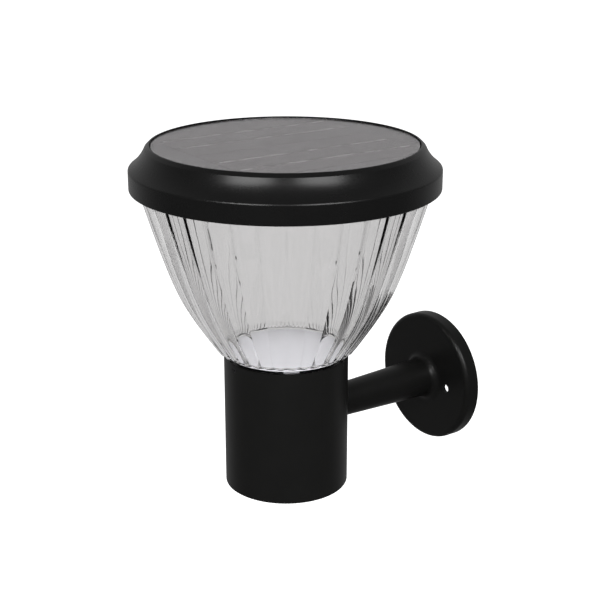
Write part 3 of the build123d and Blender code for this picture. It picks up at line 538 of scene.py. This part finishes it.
class Finishes:
    """All finishes of the light, each made once."""

    def __init__(self, axis_y: float) -> None:
        """Make the materials.

        Args:
            axis_y: The light's axis along Y, which centres the cells' pattern.
        """
        self.moulding = BlackMoulding(
            "black_moulding", (0.0046, 0.0046, 0.0044), 0.34, roughness_drift=0.05,
            grain=0.35 * MM, grain_height=0.0016 * MM, specular=0.42).material()
        self.tube = BlackMoulding(
            "black_tube", (0.0058, 0.0058, 0.0056), 0.38, roughness_drift=0.05,
            grain=0.30 * MM, grain_height=0.0016 * MM, specular=0.42).material()
        self.cap = BlackMoulding(
            "black_cap", (0.0044, 0.0044, 0.0044), 0.27, roughness_drift=0.03,
            grain=0.35 * MM, grain_height=0.0014 * MM, specular=0.45).material()
        # The shade's grey tint is painted shade: it stands in for the dim surroundings seen through
        # the bowl.
        self.clear = ClearPlastic(
            "clear_shade", (0.872, 0.866, 0.866), 0.015, roughness_drift=0.01, shade_drift=0.01,
            grain=9 * MM, grain_height=0.02 * MM, ior=1.49).material()
        self.white = Finish(
            "white_reflector", (0.92, 0.92, 0.965), 0.30, roughness_drift=0.05, shade_drift=0.02,
            grain_height=0.001 * MM).material()
        self.cell = SolarCell(
            "solar_cell", (0.013, 0.009, 0.010), 0.35, roughness_drift=0.05, shade_drift=0.25,
            cloud=9 * MM, specular=0.09, turn=CELL_TURN, axis_y=axis_y).material()
        self.ribbon = Ribbon(
            "ribbon", (0.85, 0.85, 0.85), 0.36, roughness_drift=0.06, shade_drift=0.3,
            cloud=7 * MM, metallic=0.6, grain_height=0.001 * MM).material()
        self.glaze = ClearPlastic(
            "panel_glaze", (0.86, 0.83, 0.84), 0.10, roughness_drift=0.03, shade_drift=0.01,
            grain=1.2 * MM, grain_height=0.004 * MM, ior=1.36).material()
        self.backing = Finish("panel_backing", (0.010, 0.010, 0.012), 0.5).material()
        self.adhesive = Finish("adhesive", (0.70, 0.70, 0.66), 0.5).material()
        self.steel = BrushedMetal(
            "plated_steel", (0.60, 0.60, 0.61), 0.30, roughness_drift=0.08, shade_drift=0.06,
            metallic=1.0, grain_height=0.003 * MM).material()
        self.dark_steel = BrushedMetal(
            "blackened_steel", (0.10, 0.10, 0.105), 0.35, roughness_drift=0.08, shade_drift=0.10,
            metallic=0.9, grain_height=0.003 * MM).material()
        self.nickel = BrushedMetal(
            "nickel_plate", (0.72, 0.71, 0.68), 0.24, roughness_drift=0.06, shade_drift=0.05,
            metallic=1.0, grain_height=0.003 * MM).material()
        self.rubber = Finish(
            "black_rubber", (0.016, 0.016, 0.016), 0.75, roughness_drift=0.08, shade_drift=0.15,
            grain=0.5 * MM, grain_height=0.01 * MM, sheen=0.1).material()
        self.white_board = BoardLacquer("white_board", (0.80, 0.80, 0.78), 0.35).material()
        self.green_board = BoardLacquer("green_board", (0.012, 0.10, 0.04), 0.30).material()
        self.phosphor = Finish(
            "phosphor", (0.85, 0.66, 0.14), 0.45,
            grain=0.15 * MM, grain_height=0.01 * MM).material()
        self.frosted = FrostedPlastic(
            "frosted_cover", (0.93, 0.93, 0.93), 0.45, roughness_drift=0.05, shade_drift=0.01,
            grain=0.5 * MM, grain_height=0.01 * MM).material()
        self.wrap = Finish(
            "cell_wrap", (0.03, 0.12, 0.30), 0.28, roughness_drift=0.05, shade_drift=0.08,
            coat=0.4).material()
        self.black_part = Finish("black_part", (0.02, 0.02, 0.022), 0.5).material()
        self.button = Finish(
            "button_red", (0.42, 0.015, 0.010), 0.32, roughness_drift=0.04,
            shade_drift=0.06).material()
        self.lead_red = Finish(
            "lead_red", (0.40, 0.012, 0.010), 0.42, roughness_drift=0.05,
            shade_drift=0.08).material()
        self.lead_white = Finish(
            "lead_white", (0.78, 0.78, 0.75), 0.42, roughness_drift=0.05,
            shade_drift=0.03).material()
        self.lead_blue = Finish(
            "lead_blue", (0.015, 0.05, 0.30), 0.42, roughness_drift=0.05,
            shade_drift=0.08).material()


# ------------------------------------------------------------------------------------------------
# Modelling
# ------------------------------------------------------------------------------------------------
class Workbench:
    """Turning and dressing of meshes, done with the modelling operators."""

    @staticmethod
    def clear_selection() -> None:
        """Leave edit mode and deselect everything."""
        if bpy.context.object and bpy.context.object.mode != "OBJECT":
            bpy.ops.object.mode_set(mode="OBJECT")
        bpy.ops.object.select_all(action="DESELECT")

    @classmethod
    def turned(cls, name: str, outline: Sequence[tuple[float, float]], axis: Vector,
               steps: int) -> bpy.types.Object:
        """Turn a closed outline about an upright axis.

        Args:
            name: Name of the new piece.
            outline: Radius and height of each point, in metres. It closes on its first point.
            axis: A point on the axis.
            steps: Number of steps in the full turn.

        Returns:
            The piece, its origin at the frame's origin.
        """
        cls.clear_selection()
        bpy.ops.mesh.primitive_plane_add(size=MM)
        piece = bpy.context.object
        piece.name = name
        bpy.ops.object.mode_set(mode="EDIT")
        bpy.ops.mesh.select_mode(type="VERT")
        bpy.ops.mesh.merge(type="CENTER")
        points = [Vector((axis.x + radius, axis.y, height)) for radius, height in outline]
        bpy.ops.transform.translate(value=points[0])
        for start, end in zip(points, points[1:]):
            bpy.ops.mesh.extrude_region_move(TRANSFORM_OT_translate={"value": end - start})
        if outline[0][0] > 0 or outline[-1][0] > 0:
            bpy.ops.mesh.extrude_region_move(TRANSFORM_OT_translate={"value": points[0] - points[-1]})
        bpy.ops.mesh.select_all(action="SELECT")
        bpy.ops.mesh.spin(steps=steps, angle=math.tau, center=axis, axis=(0, 0, 1))
        bpy.ops.mesh.select_all(action="SELECT")
        bpy.ops.mesh.remove_doubles(threshold=MERGE_DISTANCE)
        bpy.ops.mesh.normals_make_consistent(inside=False)
        bpy.ops.object.mode_set(mode="OBJECT")
        return piece

    @classmethod
    def smooth(cls, piece: bpy.types.Object, degrees: float) -> None:
        """Shade smooth, with edges over an angle kept sharp.

        Args:
            piece: The piece to shade.
            degrees: The angle.
        """
        cls.clear_selection()
        piece.select_set(True)
        bpy.context.view_layer.objects.active = piece
        bpy.ops.object.shade_smooth_by_angle(angle=math.radians(degrees))

    @staticmethod
    def dress(piece: bpy.types.Object, material: bpy.types.Material) -> None:
        """Give a piece one material.

        Args:
            piece: The piece.
            material: The material.
        """
        piece.data.materials.clear()
        piece.data.materials.append(material)


def smooth_step(value: float, low: float, high: float) -> float:
    """Smooth rise from 0 to 1 between two values.

    Args:
        value: Where it is read.
        low: Where it leaves 0.
        high: Where it reaches 1.

    Returns:
        The height of the rise.
    """
    share = min(1.0, max(0.0, (value - low) / (high - low)))
    return share * share * (3 - 2 * share)


# ------------------------------------------------------------------------------------------------
# Sub-assemblies
# ------------------------------------------------------------------------------------------------
@dataclass
class Datum:
    """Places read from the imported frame."""

    axis: Vector
    tube_top: float
    tube_radius: float
    rim: float

    @classmethod
    def read(cls, frame: dict[str, Any]) -> "Datum":
        """Read the places.


        Returns:
            The places.
        """
        twist = next(joint for joint in frame["joints"] if joint["name"] == "cap_twist")
        low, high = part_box("tube")
        x, y, _ = twist["pos_m"]
        return cls(Vector((x, y, 0)), high.z, (high.x - low.x) / 2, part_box("shade")[1].z)


@dataclass
class Shade:
    """Clear bowl of outward flutes with rounded toes over a plain foot ring."""

    datum: Datum
    flutes: int = 36
    steps_per_flute: int = 16
    crowding: float = 0.75
    low_depth: float = 0.105
    high_depth: float = 0.038
    flattening: tuple[float, float] = (30 * MM, 90 * MM)
    groove_depth_share: float = 0.040
    groove_width: float = 0.10
    groove_fade: tuple[float, float] = (55 * MM, 92 * MM)
    wall: float = 2.6 * MM
    foot_overhang: float = 2.2 * MM
    foot_slope: float = 0.73
    rim_radius: float = 89.1 * MM
    rim_slope: float = 0.294
    softness: float = 4.3 * MM
    ledge_height: float = 1.5 * MM
    ring_wall: float = 2.4 * MM
    flare_foot: float = 3.6 * MM
    flare_top: float = 6.6 * MM
    ring_height: float = 3.1 * MM
    ring_inset: float = 0.10 * MM
    ring_lead: float = 0.15 * MM
    ring_groove_depth: float = 0.5 * MM
    ring_groove_slope: float = 0.25 * MM
    ring_groove_heights: tuple[float, float] = (0.9 * MM, 1.7 * MM)
    toe_length: float = 2.6 * MM
    toe_root_share: float = 0.75
    toe_root_power: float = 1.5
    neck_depth: float = 12 * MM
    neck_radius: float = 35.7 * MM
    neck_wall: float = 2.4 * MM
    collar_radius: float = 86.1 * MM
    collar_height: float = 5.5 * MM
    toe_rows: int = 16
    bowl_rows: int = 44
    inner_rows: int = 30
    height_slack: float = 0.01 * MM
    radius_slack: float = 0.05 * MM
    sharp_over: float = 14.0

    def crest(self, height: float) -> float:
        """Radius over the flutes' crests.

        Args:
            height: Height above the tube's top edge.

        Returns:
            The radius.
        """
        span = self.datum.rim - self.datum.tube_top
        foot = self.datum.tube_radius + self.foot_overhang + self.foot_slope * height
        rim = self.rim_radius - self.rim_slope * (span - height)
        return (foot + rim) / 2 - math.hypot((foot - rim) / 2, self.softness)

    def collar_foot(self) -> float:
        """Height of the bowl's top, where its collar begins, above the tube's top edge."""
        return self.datum.rim - self.datum.tube_top - self.collar_height

    def rows(self) -> tuple[list[float], list[float]]:
        """Heights of the outer and inner rows above the tube's top edge.

        Returns:
            Outer heights from the ring up, and inner heights from the flare's top up.
        """
        top = self.collar_foot()
        toes = [self.ring_height + self.toe_length * i / self.toe_rows
                for i in range(self.toe_rows + 1)]
        start = toes[-1]
        bowl = [start + (top - start) * i / self.bowl_rows for i in range(1, self.bowl_rows + 1)]
        inner = [self.flare_top + (top - self.flare_top) * i / self.inner_rows
                 for i in range(self.inner_rows + 1)]
        return toes + bowl, inner

    def outline(self) -> list[tuple[float, float]]:
        """Closed outline over the crests, round the rim and down inside.

        Returns:
            Radius and height of each point.
        """
        base = self.datum.tube_top
        outer, inner = self.rows()
        ring = self.datum.tube_radius - self.ring_inset
        rim_bore = self.crest(inner[-1]) - self.wall
        neck_bore = self.neck_radius - self.neck_wall
        low, high = self.ring_groove_heights
        slope = self.ring_groove_slope
        sunk = ring - self.ring_groove_depth
        points = [(self.neck_radius, base), (ring, base), (ring, base + low - slope)]
        points += [(sunk, base + low), (sunk, base + high)]
        points += [(ring, base + high + slope), (ring, base + self.ring_height - self.ring_lead)]
        points += [(self.crest(height), base + height) for height in outer]
        points += [(self.collar_radius, base + outer[-1]), (self.collar_radius, self.datum.rim)]
        points += [(rim_bore, self.datum.rim)]
        points += [(self.crest(height) - self.wall, base + height) for height in reversed(inner)]
        ring_bore = self.datum.tube_radius - self.ring_wall
        points += [(ring_bore, base + self.flare_foot), (ring_bore, base + self.ledge_height)]
        points += [(neck_bore, base + self.ledge_height), (neck_bore, base - self.neck_depth)]
        points += [(self.neck_radius, base - self.neck_depth)]
        return points

    def sink(self, phase: float, height: float) -> float:
        """How far the surface lies below the crest.

        Args:
            phase: Place across a flute, from -0.5 to 0.5.
            height: Height above the tube's top edge.

        Returns:
            The depth.
        """
        rise = min(1.0, max(0.0, (height - self.ring_height) / self.toe_length))
        fullness = math.sqrt(1 - (1 - rise) ** 2)
        crest = self.crest(height)
        ring = self.datum.tube_radius - self.ring_inset
        chord = math.tau * crest / self.flutes
        flat = smooth_step(height, *self.flattening)
        depth = chord * (self.low_depth + (self.high_depth - self.low_depth) * flat)
        bulge = (crest - ring) * fullness
        dome = 1 - (2 * phase) ** 2
        edge = min(1.0, rise / self.toe_root_share)
        valley = max(0.0, 1 - (0.5 - abs(phase)) / self.groove_width)
        cut = self.groove_depth_share * chord * valley * smooth_step(height, *self.groove_fade)
        toe_root = ring + max(0.0, crest - depth - ring) * edge ** self.toe_root_power
        root = min(toe_root, ring + bulge)
        return crest - (root + max(0.0, ring + bulge - root) * dome) + cut

    def press_flutes(self, piece: bpy.types.Object) -> None:
        """Press the flutes into the bowl's outer wall.

        Args:
            piece: The turned bowl, plain outside.
        """
        base = self.datum.tube_top
        low = self.ring_height - self.height_slack
        high = self.collar_foot() + self.height_slack
        pitch = math.tau / self.flutes
        for vertex in piece.data.vertices:
            flat = vertex.co - self.datum.axis
            height = vertex.co.z - base
            radius = math.hypot(flat.x, flat.y)
            if low <= height <= high and abs(radius - self.crest(height)) < self.radius_slack:
                angle = math.atan2(flat.y, flat.x)
                phase = (angle / pitch + 0.5) % 1 - 0.5
                shift = self.crowding * math.sin(math.tau * phase) / math.tau
                reach = radius - self.sink(phase + shift, height)
                vertex.co.x = self.datum.axis.x + reach * math.cos(angle + shift * pitch)
                vertex.co.y = self.datum.axis.y + reach * math.sin(angle + shift * pitch)

    def build(self) -> bpy.types.Object:
        """Turn the bowl and press its flutes in.

        Returns:
            The finished bowl.
        """
        steps = self.flutes * self.steps_per_flute
        piece = Workbench.turned("shade_bowl", self.outline(), self.datum.axis, steps)
        self.press_flutes(piece)
        Workbench.smooth(piece, self.sharp_over)
        return piece

    @staticmethod
    def dress(bowl: bpy.types.Object, material: bpy.types.Material) -> None:
        """Finish the bowl and let light through it.

        Args:
            bowl: The finished bowl.
            material: Its clear plastic.
        """
        Workbench.dress(bowl, material)
        bowl.visible_shadow = False
        bowl.visible_diffuse = False


@dataclass(frozen=True)
class Lamp:
    """One soft lamp that faces the object, placed by its direction from it in degrees."""

    name: str
    azimuth: float
    height: float
    distance: float
    size: tuple[float, float]
    power: float
    mirrored: bool = True

    def hang(self, aim: Vector) -> None:
        """Make the lamp.

        Args:
            aim: The place that it faces.
        """
        data = bpy.data.lights.new(self.name, "AREA")
        data.shape = "RECTANGLE"
        data.size, data.size_y = self.size
        data.energy = self.power
        lamp = bpy.data.objects.new(self.name, data)
        bpy.context.scene.collection.objects.link(lamp)
        turn, lift = math.radians(self.azimuth), math.radians(self.height)
        level = math.cos(lift)
        way = Vector((math.cos(turn) * level, math.sin(turn) * level, math.sin(lift)))
        lamp.location = aim + way * self.distance
        lamp.rotation_euler = (-way).to_track_quat("-Z", "Y").to_euler()
        lamp.visible_glossy = self.mirrored


@dataclass
class Studio:
    """Pale floor, soft lamps, white background and the camera."""

    eye: Vector = Vector((623.4 * MM, -563.9 * MM, 332.8 * MM))
    heading: float = math.radians(144.062)
    dip: float = math.radians(18.607)
    lens: float = 80.0
    sensor: float = 36.0
    view_depth: float = 60.0
    aim: Vector = Vector((0.0, -122.5 * MM, 100 * MM))
    floor_level: float = -0.45
    floor_size: float = 24.0
    floor_colour: tuple[float, float, float] = (0.75, 0.75, 0.75)
    floor_glow: float = 0.85
    lit_arc: tuple[float, float] = (0.30, 0.65)
    back_arc: tuple[float, float] = (0.78, 0.94)
    unlit: float = 0.07
    seen_through: float = 0.68
    mirrored_arc: tuple[float, float] = (-0.05, 1.15)
    mirrored_light: tuple[float, float] = (0.08, 0.42)
    scattered_light: float = 0.62
    left_box: Lamp = Lamp("left_box", -66, 36, 1.3, (0.66, 0.50), 5.8)
    right_box: Lamp = Lamp("right_box", -6, 36, 1.3, (0.66, 0.50), 5.3)
    overhead: Lamp = Lamp("overhead", 100, 78, 1.6, (1.2, 1.2), 4, mirrored=False)
    fill: Lamp = Lamp("fill", -36, 25, 1.5, (1.0, 1.0), 12.5, mirrored=False)

    def camera(self) -> None:
        """Put the camera where the photograph was taken."""
        data = bpy.data.cameras.new("camera")
        data.lens = self.lens
        data.sensor_width = self.sensor
        data.clip_end = self.view_depth
        camera = bpy.data.objects.new("camera", data)
        bpy.context.scene.collection.objects.link(camera)
        camera.location = self.eye
        flat = math.cos(self.dip)
        look = Vector((flat * math.cos(self.heading), flat * math.sin(self.heading),
                       -math.sin(self.dip)))
        camera.rotation_euler = look.to_track_quat("-Z", "Y").to_euler()
        bpy.context.scene.camera = camera

    def facing(self, graph: Graph, way: Value) -> Value:
        """Cosine between a way and the camera's heading.

        Args:
            graph: The graph to build it in.
            way: The way, of any length.

        Returns:
            The cosine.
        """
        heading = (math.cos(self.heading), math.sin(self.heading), 0.0)
        unit = graph.node("ShaderNodeVectorMath", {"operation": "NORMALIZE"}, {0: way})
        return graph.node("ShaderNodeVectorMath", {"operation": "DOT_PRODUCT"},
                          {0: unit, 1: heading}, "Value")

    def past_glass(self, facing: Value) -> Value:
        """What rays that leave clear plastic meet: light ahead and behind, dark to the sides.

        Args:
            facing: Cosine between the ray and the camera's heading.

        Returns:
            The brightness.
        """
        ahead = facing.ramp(*self.lit_arc, self.unlit, self.seen_through)
        behind = (facing * -1).ramp(*self.back_arc, self.unlit, self.seen_through)
        return ahead.larger(behind)

    def floor(self) -> None:
        """Lay the floor, white to the camera and pale to the light."""
        Workbench.clear_selection()
        bpy.ops.mesh.primitive_plane_add(size=self.floor_size, location=(0, 0, self.floor_level))
        floor = bpy.context.object
        floor.name = "floor"
        material = bpy.data.materials.new("floor")
        material.use_nodes = True
        graph = Graph(material.node_tree)
        straight = graph.ray(Ray.CAMERA)
        through = graph.ray(Ray.TRANSMISSION)
        mirrored = graph.ray(Ray.GLOSSY)
        bent = self.past_glass(self.facing(graph, graph.place()))
        matt = graph.node("ShaderNodeBsdfDiffuse", None, {"Color": rgba(self.floor_colour)})
        lit = graph.node("ShaderNodeEmission", None, {"Strength": self.floor_glow})
        both = graph.node("ShaderNodeAddShader", None, {0: matt, 1: lit})
        refracted = graph.node("ShaderNodeEmission", None, {"Strength": bent})
        clear = graph.node("ShaderNodeBsdfTransparent")
        near = graph.node("ShaderNodeMixShader", None, {0: straight, 1: matt, 2: both})
        aside = graph.node("ShaderNodeMixShader", None, {0: through, 1: near, 2: refracted})
        surface = graph.node("ShaderNodeMixShader", None, {0: mirrored, 1: aside, 2: clear})
        graph.node("ShaderNodeOutputMaterial", None, {"Surface": surface})
        Workbench.dress(floor, material)

    def world(self) -> None:
        """Make the background: white to the camera, graded in mirrors and through clear plastic."""
        world = bpy.data.worlds.new("studio")
        bpy.context.scene.world = world
        world.use_nodes = True
        graph = Graph(world.node_tree)
        facing = self.facing(graph, graph.node("ShaderNodeTexCoord", output="Generated"))
        straight = graph.ray(Ray.CAMERA)
        through = graph.ray(Ray.TRANSMISSION)
        mirrored = graph.ray(Ray.GLOSSY)
        backdrop = facing.ramp(*self.mirrored_arc, *self.mirrored_light)
        bent = self.past_glass(facing)
        scattered = (1 - mirrored.larger(through)) * self.scattered_light
        other = mirrored * backdrop + through * bent + scattered
        strength = straight + (1 - straight) * other
        light = graph.node("ShaderNodeBackground", None, {"Strength": strength})
        graph.node("ShaderNodeOutputWorld", None, {"Surface": light})

    def lamps(self) -> None:
        """Two soft boxes beside the camera, a broad one overhead and a fill near the camera."""
        for lamp in (self.left_box, self.right_box, self.overhead, self.fill):
            lamp.hang(self.aim)
            log.info("%s: %.1f W", lamp.name, lamp.power)


# ------------------------------------------------------------------------------------------------
# The whole light
# ------------------------------------------------------------------------------------------------
class Light:
    """The whole light: dresses the carried nodes and adds the modelled pieces."""

    def __init__(self, frame: dict[str, Any]) -> None:
        """Read the frame and make the finishes.
        """
        self.frame = frame
        self.datum = Datum.read(frame)
        self.finish = Finishes(self.datum.axis.y)

    def node_finishes(self) -> dict[str, bpy.types.Material]:
        """Which finish each carried node gets."""
        f = self.finish
        return {
            "wall_bracket": f.moulding, "arm_screws": f.steel, "arm_saddle": f.steel,
            "tube": f.tube, "set_screws": f.dark_steel, "tube_end_cap": f.moulding,
            "shade": f.clear, "reflector_disc": f.white, "cap_shell": f.cap,
            "panel_adhesive": f.adhesive, "panel_board": f.backing, "solar_cells": f.cell,
            "busbars": f.ribbon, "panel_cover": f.glaze, "cap_base": f.moulding,
            "cap_seal": f.rubber, "base_gasket": f.rubber, "base_screws": f.steel,
            "led_board": f.white_board, "led_chips": f.phosphor, "led_screws": f.steel,
            "led_cover": f.frosted, "battery_cell": f.wrap, "battery_holder": f.black_part,
            "battery_contacts": f.nickel, "driver_board": f.green_board, "board_screws": f.steel,
            "board_parts": f.black_part, "switch_body": f.black_part, "switch_button": f.button,
            "button_spring": f.nickel, "switch_seal": f.rubber, "switch_nut": f.steel,
            "lead_grommets": f.rubber, "panel_leads": f.lead_red, "led_leads": f.lead_white,
            "battery_leads": f.lead_red, "switch_leads": f.lead_blue,
        }

    def dress_nodes(self) -> None:
        """Give every carried node its finish."""
        finishes = self.node_finishes()
        for name, node in self.frame["nodes"].items():
            Workbench.dress(node, finishes[name])
            log.info("%s: %s", name, finishes[name].name)
        for name in ("panel_cover", "led_cover"):
            self.frame["nodes"][name].visible_shadow = False

    def add_shade(self) -> None:
        """Stand the fluted bowl in for its plain solid."""
        shade = Shade(self.datum)
        bowl = shade.build()
        shade.dress(bowl, self.finish.clear)
        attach(bowl, "lamp_body")
        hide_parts("shade")
        log.info("shade_bowl: %d faces", len(bowl.data.polygons))


def main() -> None:
    """Build the scene in order."""
    logging.basicConfig(level=logging.INFO, format="%(name)s: %(message)s")
    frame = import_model()
    studio = Studio()
    studio.camera()
    studio.world()
    studio.lamps()
    studio.floor()
    light = Light(frame)
    light.dress_nodes()
    light.add_shade()
    bpy.context.scene.view_settings.view_transform = "Standard"


if __name__ == "__main__":
    main()
